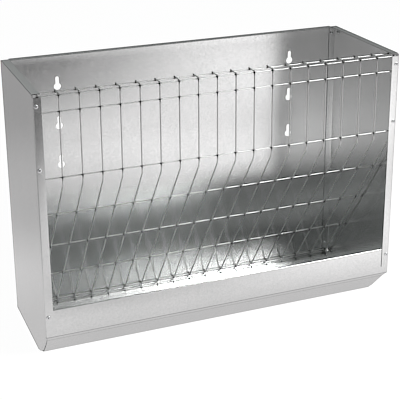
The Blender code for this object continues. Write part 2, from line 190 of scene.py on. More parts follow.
SOOT_ROUGHNESS = (0.42, 0.62)
RIVET_PLAIN = ((0.78, 0.79, 0.8), 0.27)
RIVET_GRAIN_SIZE = 0.8 * MM
RIVET_DARK = (0.70, 0.71, 0.72)
RIVET_LIGHT = (0.84, 0.85, 0.86)
RIVET_ROUGHNESS = (0.29, 0.36)
MANDREL_STEEL = (0.045, 0.045, 0.045)
MANDREL_EDGE = (0.8 * MANDREL_RADIUS, 1.15 * MANDREL_RADIUS)

# Camera: where it stands, how it is turned, and its lens
CAMERA_PLACE = Vector((-618.9, -1560.2, 882.6)) * MM
CAMERA_YAW = math.radians(21.55)
CAMERA_PITCH = math.radians(19.16)
CAMERA_ROLL = math.radians(-0.42)
CAMERA_LENS = 97.6
CAMERA_SENSOR = 36
CAMERA_SHIFT = -0.15
SHARPENING = 0.04

# Sky: how bright it is at some heights above the horizon, which are given as sines
SKY = ((0.08, 0.05), (0.36, 0.42), (0.9, 0.22))
SKY_COLOUR = (0.97, 1, 0.99)

# Stage floor, in metres: its glow in the metal, and round patches that add to the glow or take from it,
# which are painted pools of light and painted shade, such as a painted shadow under the feeder.
# A patch has a centre, the radii where its fade starts and ends, a factor for the distance along each
# axis, and a strength.
FLOOR_HALF_SIZE = 4
FLOOR_DROP = 0.2 * MM
FLOOR_COLOUR = (1, 0.985, 0.99)
FLOOR_GLOW = 0.39
FLOOR_PATCHES = (
    ((0, -0.1, 0), 0.4, 0.9, (1, 1, 1), 0.45),
    ((0.42, -0.85, 0), 0.3, 0.75, (1, 1, 1), 0.62),
    ((1.0, -1.45, 0), 0.3, 0.85, (1, 1, 1), 0.9),
    # painted shadow on the floor under the feeder
    ((0, 0.02, 0), 0.1, 0.3, (0.3, 1, 1), -0.2),
    ((0.12, -1.5, 0), 0.2, 0.7, (1, 1, 1), -0.48),
    ((-0.4, 0.37, 0), 0.05, 0.3, (1, 1, 1), -0.15),
    ((-0.46, 0.6, 0), 0.1, 0.6, (1, 1, 1), 0.13),
    ((0, -0.37, 0), 0.02, 0.11, (0.25, 1, 1), -0.3),
)
FLOOR_SEEN_GLOW = 0.93
FLOOR_SEEN_COLOUR = (0.18, 0.18, 0.18)

# Soft lights, in metres and watts: name, place, what it points at, width, height and power
SOFT_LIGHTS = (
    ("softbox_front_right", (1.0, -1.39, 1.25), (0.02, 0, 0.05), 0.88, 0.65, 21),
    ("softbox_above", (-0.85, -0.8, 1.8), (0.1, 0, 0.1), 0.8, 0.8, 2),
)

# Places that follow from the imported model
body_low, body_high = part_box("body_sheet")
panel_low, panel_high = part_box("right_side_panel")
HALF_WIDTH = body_high.x
REAR_Y = body_high.y
LIP_Y = body_low.y
FRONT_Y = panel_low.y
FLOOR_Z = body_low.z
TOP_Z = body_high.z
LIP_TOP_Z = FLOOR_Z + LIP_RISE
SHOULDER_Z = FLOOR_Z + SHOULDER_HEIGHT
SIDE_REAR_Y = panel_high.y
SIDE_BOTTOM_Z = panel_low.z
LIP_HALF_WIDTH = HALF_WIDTH - BEND_RADIUS - CLEARANCE
HEM_HALF_WIDTH = HALF_WIDTH - FLANGE - CLEARANCE
GRID_Y = FRONT_Y + LAYER + WIRE_RADIUS
GRID_TOP_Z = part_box("upright_wire_01")[1].z - WIRE_RADIUS
GRID_BEND_Z = TOP_Z - GRID_BEND_DROP
GRID_FOOT_Y = SIDE_REAR_Y - SHEET - GRID_FOOT_SETBACK
GRID_FOOT_Z = SIDE_BOTTOM_Z + SHEET + GRID_FOOT_RISE
# Heights of the darker lines along the front: the bend between lip and slope, and 13 mm down the slope
DARK_LINE_LEVELS = (FLOOR_Z + SLOPE_RISE, FLOOR_Z + SLOPE_RISE - MARK_GAP * math.sqrt(0.5))


def mesh_from(bm, name):
    mesh = bpy.data.meshes.new(name)
    bm.to_mesh(mesh)
    bm.free()
    return mesh


def add_object(name, mesh, material, location=(0, 0, 0)):
    item = bpy.data.objects.new(name, mesh)
    item.location = location
    if material is not None:
        mesh.materials.append(material)
    bpy.context.scene.collection.objects.link(item)
    return item


def apply_modifiers(item):
    """The object's mesh as its modifiers make it."""
    graph = bpy.context.evaluated_depsgraph_get()
    done = bpy.data.meshes.new_from_object(item.evaluated_get(graph), depsgraph=graph)
    item.modifiers.clear()
    item.data = done


def rounded_path(corners, radii, steps):
    """A flat path through corners, each inner corner rounded by an arc of its own radius."""
    path = [Vector(corners[0])]
    for index in range(1, len(corners) - 1):
        corner = Vector(corners[index])
        back = (Vector(corners[index - 1]) - corner).normalized()
        ahead = (Vector(corners[index + 1]) - corner).normalized()
        radius = radii[index - 1]
        half_angle = back.angle(ahead) / 2
        centre = corner + (back + ahead).normalized() * (radius / math.sin(half_angle))
        start = corner + back * (radius / math.tan(half_angle)) - centre
        turn = start.angle_signed(corner + ahead * (radius / math.tan(half_angle)) - centre)
        for step in range(steps + 1):
            angle = turn * step / steps
            turned = Vector((
                start.x * math.cos(angle) + start.y * math.sin(angle),
                start.y * math.cos(angle) - start.x * math.sin(angle),
            ))
            path.append(centre + turned)
    path.append(Vector(corners[-1]))
    return path


def slice_mesh(bm, axis, low, high, spacing):
    """Cuts every face into cells, so that the sheet can wave."""
    count = max(1, round((high - low) / spacing))
    normal = Vector((0, 0, 0))
    normal[axis] = 1
    for step in range(1, count):
        place = Vector((0, 0, 0))
        place[axis] = low + (high - low) * step / count
        everything = bm.verts[:] + bm.edges[:] + bm.faces[:]
        bmesh.ops.bisect_plane(bm, geom=everything, dist=CUT_TOLERANCE, plane_co=place, plane_no=normal)


def wave_flat(bm, axis, level, span, seed):
    """Waves one flat side of the sheet, by less than its clearance and not at its bends."""
    across = [other for other in range(3) if other != axis]
    for corner in bm.verts:
        if abs(corner.co[axis] - level) > SHEET / 2:
            continue
        gaps = [corner.co[other] - span[other][0] for other in across]
        gaps += [span[other][1] - corner.co[other] for other in across]
        ease = min(1, max(0, min(gaps) / WAVE_MARGIN))
        ease = ease * ease * (3 - 2 * ease)
        place = Vector(corner.co) / WAVE_LENGTH + Vector((seed, seed, seed))
        corner.co[axis] += WAVE * ease * noise.noise(place)


def finish_sheet(item, cutters):
    """Gives the folded surface its thickness, with bare cut edges painted dark as shade of the gaps between
    sheets, and cuts the holes.
    """
    solidify = item.modifiers.new("thickness", "SOLIDIFY")
    solidify.thickness = SHEET
    solidify.offset = -1
    solidify.use_even_offset = True
    solidify.material_offset_rim = 1
    cutter = add_object(item.name + "_cutter", mesh_from(cutters, item.name + "_cutter"), None)
    cut = item.modifiers.new("holes", "BOOLEAN")
    cut.operation = "DIFFERENCE"
    cut.solver = "EXACT"
    cut.object = cutter
    apply_modifiers(item)
    bpy.data.objects.remove(cutter)
    item.data.shade_smooth()
    item.data.set_sharp_from_angle(angle=SHEET_SHARP_ANGLE)
    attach(item, "root")


def add_prism(bm, outline, direction, length):
    base = [bm.verts.new(point) for point in outline]
    far = [bm.verts.new(Vector(point) + direction * length) for point in outline]
    faces = [bm.faces.new(list(reversed(base))), bm.faces.new(far)]
    for index, corner in enumerate(base):
        following = (index + 1) % len(base)
        faces.append(bm.faces.new((corner, base[following], far[following], far[index])))
    bmesh.ops.recalc_face_normals(bm, faces=faces)


def add_rivet_hole(bm, seat, axis):
    side = Vector((1, 0, 0))
    upward = axis.cross(side)
    length = 4 * LAYER + 2 * OVERRUN
    outline = []
    for step in range(RIVET_SIDES):
        angle = 2 * math.pi * step / RIVET_SIDES
        spoke = side * math.cos(angle) + upward * math.sin(angle)
        outline.append(seat + spoke * RIVET_HOLE_RADIUS - axis * length / 2)
    add_prism(bm, outline, axis, length)


def rivet_places():
    """Each rivet's node, the point where its head sits on the outer sheet, and the way it faces."""
    faces = {
        "front": (Vector((0, -1, 0)), 1, FRONT_Y),
        "rear": (Vector((0, 1, 0)), 1, REAR_Y),
        "floor": (Vector((0, 0, -1)), 2, FLOOR_Z),
    }
    places = []
    for name in sorted(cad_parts):
        group = name.split("_rivet_")[0]
        if group in faces and "_rivet_" in name:
            low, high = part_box(name)
            axis, across, level = faces[group]
            seat = (low + high) / 2
            seat[across] = level
            places.append((name, seat, axis))
    return places


def keyhole_outline(x, z):
    round_radius = KEYHOLE_DIAMETER / 2
    slot_radius = KEYHOLE_SLOT_WIDTH / 2
    neck = math.asin(slot_radius / round_radius)
    y = REAR_Y + OVERRUN
    outline = []
    for step in range(KEYHOLE_STEPS + 1):
        angle = math.pi / 2 + neck + (2 * math.pi - 2 * neck) * step / KEYHOLE_STEPS
        outline.append((x + round_radius * math.cos(angle), y, z + round_radius * math.sin(angle)))
    for step in range(KEYHOLE_STEPS // 2 + 1):
        angle = 2 * math.pi * step / KEYHOLE_STEPS
        slot_z = z + KEYHOLE_SLOT_LENGTH + slot_radius * math.sin(angle)
        outline.append((x + slot_radius * math.cos(angle), y, slot_z))
    return outline


def body_rows():
    """The body sheet's outer face as rows: (y, z), half width above the row, half width below it."""
    corners = [
        (REAR_Y - FLANGE, TOP_Z),
        (REAR_Y, TOP_Z),
        (REAR_Y, FLOOR_Z),
        (FRONT_Y + SLOPE_RUN, FLOOR_Z),
        (LIP_Y, FLOOR_Z + SLOPE_RISE),
        (LIP_Y, LIP_TOP_Z),
        (LIP_Y + FLANGE, LIP_TOP_Z),
    ]
    path = rounded_path(corners, [BEND_RADIUS] * (len(corners) - 2), BEND_STEPS)
    bend = BEND_STEPS + 1
    hem, back, floor, slope, lip = (path[1 + bend * place:1 + bend * (place + 1)] for place in range(5))

    rows = [(path[0], HEM_HALF_WIDTH, HEM_HALF_WIDTH)]
    rows += [(point, HEM_HALF_WIDTH, HEM_HALF_WIDTH) for point in hem[:-1]]
    rows.append((hem[-1], HEM_HALF_WIDTH, HALF_WIDTH))
    rows += [(point, HALF_WIDTH, HALF_WIDTH) for point in back]
    rows.append((floor[0] + Vector((TRIM_RETURN, 0)), HALF_WIDTH, HALF_WIDTH))
    rows += [(point, HALF_WIDTH - TRIM, HALF_WIDTH - TRIM) for point in floor]

    along = (slope[0] - floor[-1]).normalized()
    inward = Vector((along.y, -along.x))
    length = (slope[0] - floor[-1]).length
    distances = [(length * step / TRIM_STEPS, 0) for step in range(1, TRIM_STEPS)]
    mark = length - MARK_GAP
    distances = [pair for pair in distances if abs(pair[0] - mark) > MARK_WIDTH]
    distances += [(mark - MARK_WIDTH / 2, 0), (mark, MARK_DEPTH), (mark + MARK_WIDTH / 2, 0)]
    for distance, depth in sorted(distances):
        share = 1 - distance / length
        width = HALF_WIDTH - TRIM * math.sqrt(1 - (1 - share) ** 2)
        rows.append((floor[-1] + along * distance + inward * depth, width, width))
    rows += [(point, HALF_WIDTH, HALF_WIDTH) for point in slope]
    rows.append((Vector((LIP_Y, SHOULDER_Z)), HALF_WIDTH, LIP_HALF_WIDTH))
    rows += [(point, LIP_HALF_WIDTH, LIP_HALF_WIDTH) for point in lip]
    rows.append((path[-1], LIP_HALF_WIDTH, LIP_HALF_WIDTH))
    return rows


def add_body_sheet(materials):
    bm = bmesh.new()
    rows = body_rows()
    edges = []
    for point, before, after in rows:
        places = {}
        for half_width in (before, after):
            for side in (-1, 1):
                if (side, half_width) not in places:
                    place = (side * half_width, point.x, point.y)
                    places[(side, half_width)] = bm.verts.new(place)
        edges.append(places)
    for index in range(len(rows) - 1):
        before, after = rows[index][1:]
        near = [edges[index][(-1, after)], edges[index][(1, after)]]
        if before < after:
            near[1:1] = [edges[index][(-1, before)], edges[index][(1, before)]]
        before, after = rows[index + 1][1:]
        far = [edges[index + 1][(1, before)], edges[index + 1][(-1, before)]]
        if after < before:
            far[1:1] = [edges[index + 1][(1, after)], edges[index + 1][(-1, after)]]
        bm.faces.new(near + far)
    slice_mesh(bm, 0, -HALF_WIDTH, HALF_WIDTH, CELL)
    slice_mesh(bm, 2, LIP_TOP_Z, TOP_Z, CELL)
    slice_mesh(bm, 1, FRONT_Y + SLOPE_RUN, REAR_Y, CELL)
    span = [(-HALF_WIDTH, HALF_WIDTH), (FRONT_Y + SLOPE_RUN, REAR_Y), (FLOOR_Z, TOP_Z)]
    wave_flat(bm, 1, REAR_Y, span, BACK_SEED)
    wave_flat(bm, 2, FLOOR_Z, span, FLOOR_SEED)
    body = add_object("galvanised_body", mesh_from(bm, "galvanised_body"), None)
    for material in materials:
        body.data.materials.append(material)

    cutters = bmesh.new()
    for side in (-1, 1):
        for row in range(KEYHOLE_ROWS):
            x = side * (HALF_WIDTH - KEYHOLE_INSET)
            z = TOP_Z - KEYHOLE_DROP - row * KEYHOLE_PITCH
            add_prism(cutters, keyhole_outline(x, z), Vector((0, -1, 0)), SHEET + 2 * OVERRUN)
    for name, seat, axis in rivet_places():
        if "front" not in name or "lip" in name:
            add_rivet_hole(cutters, seat, axis)
    finish_sheet(body, cutters)
    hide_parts("body_sheet")


def line_crossing(point_a, direction_a, point_b, direction_b):
    across = direction_a.x * direction_b.y - direction_a.y * direction_b.x
    gap = point_b - point_a
    share = (gap.x * direction_b.y - gap.y * direction_b.x) / across
    return point_a + direction_a * share


def side_outline():
    """The side panel's outer corners in (y, z), and whether the edge after each has a flange."""
    slope_top = Vector((LIP_Y, FLOOR_Z + SLOPE_RISE))
    slope_foot = Vector((FRONT_Y + SLOPE_RUN, FLOOR_Z))
    along = (slope_foot - slope_top).normalized()
    slope_point = slope_top + Vector((-along.y, along.x)) * LAYER
    low_front = Vector((LIP_Y + LAYER, SHOULDER_Z + CLEARANCE))
    bottom_rear = Vector((SIDE_REAR_Y, SIDE_BOTTOM_Z))
    return [
        (Vector((SIDE_REAR_Y, TOP_Z)), True),
        (Vector((FRONT_Y, TOP_Z)), True),
        (Vector((FRONT_Y, SHOULDER_Z + CLEARANCE)), False),
        (low_front, False),
        (line_crossing(low_front, Vector((0, 1)), slope_point, along), True),
        (line_crossing(slope_point, along, bottom_rear, Vector((1, 0))), True),
        (bottom_rear, True),
    ]


def add_side_panel(side_name, side, materials):
    outline = side_outline()
    count = len(outline)
    lines = []
    for index, (corner, flanged) in enumerate(outline):
        direction = (outline[(index + 1) % count][0] - corner).normalized()
        inward = Vector((-direction.y, direction.x))
        lines.append((corner + inward * (BEND_RADIUS if flanged else 0), direction))
    corners = [line_crossing(*lines[index - 1], *lines[index]) for index in range(count)]

    bm = bmesh.new()
    ring = []
    strips = []
    for index in range(count):
        start, end = corners[index], corners[(index + 1) % count]
        ring.append(bm.verts.new((side * HALF_WIDTH, start.x, start.y)))
        if outline[index][1]:
            direction = (end - start).normalized()
            start_relief = CORNER_RELIEF if outline[index - 1][1] else CORNER_RELIEF + BEND_RADIUS
            end_relief = CORNER_RELIEF if outline[(index + 1) % count][1] else CLEARANCE
            ends = (start + direction * start_relief, end - direction * end_relief)
            pair = [bm.verts.new((side * HALF_WIDTH, point.x, point.y)) for point in ends]
            ring.extend(pair)
            strips.append((pair, ends, Vector((direction.y, -direction.x))))
    for previous, ends, outward in strips:
        for step in range(1, BEND_STEPS + 2):
            angle = math.pi / 2 * min(step, BEND_STEPS) / BEND_STEPS
            reach = outward * (BEND_RADIUS * math.sin(angle))
            inset = FLANGE if step > BEND_STEPS else BEND_RADIUS * (1 - math.cos(angle))
            x = side * (HALF_WIDTH - inset)
            row = [bm.verts.new((x, point.x + reach.x, point.y + reach.y)) for point in ends]
            face = (previous[0], previous[1], row[1], row[0])
            bm.faces.new(face if side < 0 else tuple(reversed(face)))
            previous = row
    bm.faces.new(ring if side > 0 else list(reversed(ring)))
    slice_mesh(bm, 1, FRONT_Y, SIDE_REAR_Y, CELL)
    slice_mesh(bm, 2, SIDE_BOTTOM_Z, TOP_Z, CELL)
    span = [(0, 0), (FRONT_Y, SIDE_REAR_Y), (SIDE_BOTTOM_Z, TOP_Z)]
    wave_side(bm, side, span)
    name = f"galvanised_{side_name}_side"
    panel = add_object(name, mesh_from(bm, name), None)
    for material in materials:
        panel.data.materials.append(material)

    cutters = bmesh.new()
    for node, seat, axis in rivet_places():
        if side_name in node:
            add_rivet_hole(cutters, seat, axis)
    finish_sheet(panel, cutters)
    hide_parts(side_name + "_side_panel")


def wave_side(bm, side, span):
    """Waves a side panel's flat side inwards only, so that it stays within the feeder's width."""
    before = {corner: corner.co.x for corner in bm.verts}
    wave_flat(bm, 0, side * HALF_WIDTH, span, SIDE_SEED + side)
    for corner, x in before.items():
        corner.co.x = x - side * abs(corner.co.x - x)


def upright_path():
    """The centre line of an upright wire in (y, z): its folded top, its straight part and its slope."""
    corners = [
        (GRID_Y + FOLD_DEPTH + FOLD_STUB, GRID_TOP_Z),
        (GRID_Y, GRID_TOP_Z),
        (GRID_Y, GRID_BEND_Z),
        (GRID_FOOT_Y, GRID_FOOT_Z),
    ]
    return rounded_path(corners, [WIRE_STEP, GRID_BEND_RADIUS], WIRE_BEND_STEPS)


def fine_path(path, welds):
    """The path with more points: a steady spacing, and closer ones beside each weld."""
    marks = []
    for start, end in zip(path, path[1:]):
        length = (end - start).length
        shares = {0.0}
        count = max(1, math.ceil(length / WIRE_SPACING))
        shares.update(step / count for step in range(count))
        for weld in welds:
            along = (weld - start).dot(end - start) / length
            if (start + (end - start) * (along / length) - weld).length > WELD_NEAR:
                continue
            for reach_share in WELD_REACH_SHARES:
                share = (along + reach_share * WELD_REACH) / length
                if 0 < share < 1:
                    shares.add(share)
        ordered = sorted(shares)
        kept = [ordered[0]]
        for share in ordered[1:]:
            if (share - kept[-1]) * length > WIRE_RADIUS / 2:
                kept.append(share)
        marks += [start.lerp(end, share) for share in kept]
    marks.append(path[-1])
    return marks


def tube_mesh(name, points, welds, material):
    """A round wire along points, with its ends rounded off, and marked where the welds heated it."""
    bm = bmesh.new()
    heat = []
    rings = []
    count = len(points)
    side = None
    for index, point in enumerate(points):
        tangent = (points[min(index + 1, count - 1)] - points[max(index - 1, 0)]).normalized()
        if side is None:
            side = tangent.orthogonal().normalized()
        side = (side - tangent * side.dot(tangent)).normalized()
        other = tangent.cross(side)
        warmth = max([0] + [1 - (weld - point).length / (WELD_REACH + WIRE_STEP) for weld in welds])
        radii = [(0, 1)]
        if index == 0:
            radii = [(-WIRE_END_REACH_SHARE, WIRE_END_RADIUS_SHARE), (0, 1)]
        elif index == count - 1:
            radii = [(0, 1), (WIRE_END_REACH_SHARE, WIRE_END_RADIUS_SHARE)]
        for shift, share in radii:
            ring = []
            for step in range(WIRE_SIDES):
                angle = 2 * math.pi * step / WIRE_SIDES
                spoke = side * math.cos(angle) + other * math.sin(angle)
                centre = point + tangent * (shift * WIRE_RADIUS)
                ring.append(bm.verts.new(centre + spoke * (WIRE_RADIUS * share)))
                heat.append(warmth)
            rings.append(ring)
    for near, far in zip(rings, rings[1:]):
        for step in range(WIRE_SIDES):
            following = (step + 1) % WIRE_SIDES
            bm.faces.new((near[step], near[following], far[following], far[step]))
    bm.faces.new(list(reversed(rings[0])))
    bm.faces.new(rings[-1])
    mesh = mesh_from(bm, name)
    mesh.shade_smooth()
    mesh.set_sharp_from_angle(angle=WIRE_SHARP_ANGLE)
    attribute = mesh.attributes.new("weld_heat", "FLOAT", "POINT")
    attribute.data.foreach_set("value", heat)
    mesh.materials.append(material)
    return mesh


def wobble(points, seed, directions):
    """Bends a wire by a hair's breadth, as drawn wire is never quite straight."""
    moved = []
    for point in points:
        place = point / WOBBLE_LENGTH + Vector((seed, -seed, seed / 2))
        shift = Vector((0, 0, 0))
        for direction in directions:
            shift += direction * (WIRE_WOBBLE * noise.noise(place + direction * WOBBLE_APART))
        moved.append(point + shift)
    return moved


def weld_mesh(name, places, step_direction, seed):
    """A row of flattened, slightly uneven weld beads in one mesh."""
    rand = random.Random(seed)
    bm = bmesh.new()
    across = Vector((1, 0, 0))
    along = step_direction.cross(across)
    for place in places:
        size = rand.uniform(*WELD_SIZE_SHARES)
        lean = rand.uniform(-WELD_LEAN_SHARE, WELD_LEAN_SHARE)
        made = bmesh.ops.create_icosphere(bm, subdivisions=2, radius=1)
        turn = rand.uniform(0, WELD_TURNS)
        for corner in made["verts"]:
            lump = 1 + WELD_LUMP_SHARE * noise.noise(corner.co * WELD_LUMPS + Vector((turn, 0, 0)))
            local = corner.co * (size * lump)
            corner.co = (
                place
                + across * (local.x * WELD_LENGTH + lean * WIRE_RADIUS)
                + along * (local.y * WELD_WIDTH)
                + step_direction * (local.z * WELD_HEIGHT)
            )
    mesh = mesh_from(bm, name)
    mesh.shade_smooth()
    return mesh


def cross_wires():
    """Each cross wire's node, its (y, z) centre and the way from the uprights to it."""
    slope = Vector((GRID_FOOT_Y - GRID_Y, GRID_FOOT_Z - GRID_BEND_Z)).normalized()
    rows = []
    for number in range(1, CROSS_COUNT + 1):
        node = f"cross_wire_{number}"
        low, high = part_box(node)
        centre = (low + high) / 2
        if number == 1:
            step = Vector((0, 0, -1))
        elif centre.z > GRID_BEND_Z:
            step = Vector((0, 1, 0))
        else:
            step = Vector((0, -slope.y, slope.x))
        rows.append((node, centre, step))
    return rows


def add_grid(wire_material, weld_material):
    rows = cross_wires()
    columns = []
    for number in range(1, UPRIGHT_COUNT + 1):
        node = f"upright_wire_{number:02d}"
        low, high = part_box(node)
        columns.append((node, (low.x + high.x) / 2))

    flat = upright_path()
    for number, (node, x) in enumerate(columns):
        welds = [centre - step * (WIRE_STEP / 2) for _, centre, step in rows]
        points = fine_path([Vector((0, p.x, p.y)) for p in flat], welds)
        points = wobble(points, UPRIGHT_SEED * number, [Vector((1, 0, 0))])
        name = f"grid_upright_{number + 1:02d}"
        wire = add_object(name, tube_mesh(name, points, welds, wire_material), None, (x, 0, 0))
        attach(wire, "root")
        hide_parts(node)

    for number, (node, centre, step) in enumerate(rows, start=1):
        low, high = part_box(node)
        welds = [Vector((x, centre.y, centre.z)) - step * (WIRE_STEP / 2) for _, x in columns]
        ends = [Vector((x, centre.y, centre.z)) for x in (low.x, high.x)]
        sideways = step.cross(Vector((1, 0, 0)))
        points = wobble(fine_path(ends, welds), CROSS_SEED * number, [sideways])
        name = f"grid_cross_{number}"
        wire = add_object(name, tube_mesh(name, points, welds, wire_material), None)
        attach(wire, "root")
        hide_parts(node)
        name = f"grid_welds_{number}"
        beads = add_object(name, weld_mesh(name, welds, step, number), weld_material)
        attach(beads, "root")


def rivet_mesh(grip, material):
    """A set blind rivet along +Z: a domed head, its shank, and the bulb behind the sheets."""
    crown = CLEARANCE + RIVET_HEAD_HEIGHT
    hollow = crown - MANDREL_DEPTH
    profile = [(0, hollow), (MANDREL_RADIUS, hollow), (MANDREL_RADIUS, crown)]
    for step in range(1, RIVET_STEPS + 1):
        angle = math.pi / 2 * step / RIVET_STEPS
        radius = MANDREL_RADIUS + (RIVET_HEAD_RADIUS - MANDREL_RADIUS) * math.sin(angle)
        rise_share = RIVET_RIM_SHARE + (1 - RIVET_RIM_SHARE) * math.cos(angle)
        profile.append((radius, CLEARANCE + RIVET_HEAD_HEIGHT * rise_share))
    profile += [(RIVET_HEAD_RADIUS, CLEARANCE), (RIVET_RADIUS, CLEARANCE), (RIVET_RADIUS, -grip)]
    for step in range(RIVET_STEPS + 1):
        angle = math.pi * step / RIVET_STEPS
        radius = RIVET_RADIUS + (RIVET_TAIL_RADIUS - RIVET_RADIUS) * math.sin(angle)
        profile.append((radius, -grip - RIVET_TAIL_LENGTH * RIVET_BULB_SHARE * step / RIVET_STEPS))
    profile += [(MANDREL_RADIUS, -grip - RIVET_TAIL_LENGTH), (0, -grip - RIVET_TAIL_LENGTH)]
    bm = bmesh.new()
    rings = []
    for radius, height in profile:
        if radius == 0:
            rings.append([bm.verts.new((0, 0, height))])
            continue
        ring = []
        for step in range(RIVET_SIDES):
            angle = 2 * math.pi * step / RIVET_SIDES
            ring.append(bm.verts.new((radius * math.cos(angle), radius * math.sin(angle), height)))
        rings.append(ring)
    for upper, lower in zip(rings, rings[1:]):
        for step in range(RIVET_SIDES):
            following = (step + 1) % RIVET_SIDES
            corners = [upper[step % len(upper)], lower[step % len(lower)]]
            if len(lower) > 1:
                corners.append(lower[following])
            if len(upper) > 1:
                corners.append(upper[following])
            bm.faces.new(corners)
    bmesh.ops.recalc_face_normals(bm, faces=bm.faces)
    mesh = mesh_from(bm, "blind_rivet")
    mesh.shade_smooth()
    mesh.set_sharp_from_angle(angle=RIVET_SHARP_ANGLE)
    mesh.materials.append(material)
    return mesh


def add_rivets(material):
    clip_grip = GRID_Y + WIRE_RADIUS + CLEARANCE + LAYER - FRONT_Y
    sheets = rivet_mesh(2 * LAYER + CLEARANCE, material)
    clips = rivet_mesh(clip_grip, material)
    for node, seat, axis in rivet_places():
        through_clip = node.startswith("front") and "lip" not in node
        rivet = add_object("set_" + node, clips if through_clip else sheets, None, seat)
        rivet.rotation_mode = "QUATERNION"
        rivet.rotation_quaternion = axis.to_track_quat("Z", "Y")
        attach(rivet, "root")
        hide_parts(node)


def put(tree, socket, value):
    """Links another node's output to a socket, or sets the socket's own value."""
    if isinstance(value, bpy.types.NodeSocket):
        tree.links.new(value, socket)
    else:
        socket.default_value = value


def maths(tree, operation, first, second):
    made = tree.nodes.new("ShaderNodeMath")
    made.operation = operation
    put(tree, made.inputs[0], first)
    put(tree, made.inputs[1], second)
    return made.outputs["Value"]


class Shader:
    """A few short ways to put nodes into a metal's material."""

    def __init__(self, name, colour, roughness):
        self.material = bpy.data.materials.new(name)
        self.material.use_nodes = True
        self.tree = self.material.node_tree
        self.surface = self.tree.nodes["Principled BSDF"]
        self.surface.inputs["Base Color"].default_value = (*colour, 1)
        self.surface.inputs["Roughness"].default_value = roughness
        self.surface.inputs["Metallic"].default_value = 1
        self.place = self.node("ShaderNodeTexCoord").outputs["Object"]

    def node(self, kind, **settings):
        made = self.tree.nodes.new(kind)
        for key, value in settings.items():
            setattr(made, key, value)
        return made

    def fill(self, node, **values):
        for key, value in values.items():
            put(self.tree, node.inputs[key.replace("_", " ")], value)
        return node

    def scaled(self, scale):
        mapping = self.node("ShaderNodeMapping")
        self.fill(mapping, Vector=self.place, Scale=scale)
        return mapping.outputs["Vector"]

    def noise(self, cell, detail=2.0, stretch=(1, 1, 1)):
        texture = self.node("ShaderNodeTexNoise")
        self.fill(texture, Vector=self.scaled(stretch), Scale=1 / cell, Detail=detail)
        return texture.outputs["Fac"]

    def ranged(self, value, low, high, start=0.0, end=1.0):
        mapped = self.node("ShaderNodeMapRange")
        self.fill(mapped, Value=value, From_Min=start, From_Max=end, To_Min=low, To_Max=high)
        return mapped.outputs["Result"]

    def maths(self, operation, first, second):
        return maths(self.tree, operation, first, second)

    def mixed(self, factor, first, second):
        made = self.node("ShaderNodeMix", data_type="RGBA")
        put(self.tree, made.inputs[0], factor)
        for socket, colour in ((made.inputs[6], first), (made.inputs[7], second)):
            put(self.tree, socket, (*colour, 1) if isinstance(colour, tuple) else colour)
        return made.outputs[2]

    def bump(self, height, distance, before=None):
        made = self.node("ShaderNodeBump")
        self.fill(made, Height=height, Distance=distance, Strength=1)
        if before is not None:
            self.tree.links.new(before, made.inputs["Normal"])
        return made.outputs["Normal"]

    def connect(self, **sockets):
        for key, value in sockets.items():
            self.tree.links.new(value, self.surface.inputs[key.replace("_", " ")])


def galvanised_sheet(name, dark_line_levels=()):
    """Hot-dip galvanised sheet: small crystals, faint rolling lines, cloudy patches, and any darker lines
    along the front at given heights.
    """
    shader = Shader(name, *SHEET_PLAIN)
    crystals = shader.node("ShaderNodeTexVoronoi", feature="F1")
    shader.fill(crystals, Vector=shader.place, Scale=1 / CRYSTAL_SIZE, Randomness=1.0)
    separate = shader.node("ShaderNodeSeparateColor")
    shader.fill(separate, Color=crystals.outputs["Color"])
    crystal = separate.outputs["Red"]
    other = separate.outputs["Green"]
    grain = shader.noise(GRAIN_SIZE, 1.0)
    streaks = shader.noise(STREAK_WIDTH, 1.0, STREAK_STRETCH)
    clouds = shader.noise(CLOUD_SIZE, 3.0)

    tone = shader.ranged(crystal, 0.0, 0.25)
    tone = shader.maths("ADD", tone, shader.ranged(grain, 0.0, 0.4, 0.3, 0.7))
    tone = shader.maths("ADD", tone, shader.ranged(clouds, 0.0, 0.25, 0.35, 0.65))
    colour = shader.mixed(tone, ZINC_DARK, ZINC_LIGHT)
    # Darker lines across the front, at the bend between lip and slope and 13 mm down the slope
    for level in dark_line_levels:
        colour = shader.mixed(dark_line(shader, level), colour, DARK_LINE_COLOUR)
    cloudy = shader.ranged(clouds, 0.0, CLOUD_ROUGHNESS, 0.35, 0.65)
    rough = shader.maths("ADD", shader.ranged(other, *ZINC_ROUGHNESS), cloudy)
    normal = shader.bump(streaks, STREAK_DEPTH)
    normal = shader.bump(grain, GRAIN_DEPTH, normal)
    shader.connect(Base_Color=colour, Roughness=rough, Normal=normal)
    return shader.material


def dark_line(shader, level):
    """A thin line along the front of the trough at one height, where the colour is made darker."""
    position = shader.node("ShaderNodeSeparateXYZ")
    shader.fill(position, Vector=shader.place)
    gap = shader.maths("ABSOLUTE", shader.maths("SUBTRACT", position.outputs["Z"], level), 0.0)
    line = shader.ranged(gap, 1.0, 0.0, DARK_LINE_WIDTH / 4, DARK_LINE_WIDTH / 2)
    slope_foot = FRONT_Y + SLOPE_RUN
    front = shader.ranged(position.outputs["Y"], 1.0, 0.0, slope_foot, slope_foot + SHEET)
    return shader.maths("MULTIPLY", line, front)


def cut_edge():
    """The sheared edge of the sheet: finely scored bare steel, painted much darker as shade in the gaps
    between the sheets.
    """
    shader = Shader("cut_edge", *EDGE_PLAIN)
    score = shader.noise(SCORE_SIZE, 2.0)
    colour = shader.mixed(score, EDGE_DARK, EDGE_LIGHT)
    shader.connect(Base_Color=colour, Roughness=shader.ranged(score, *EDGE_ROUGHNESS))
    return shader.material


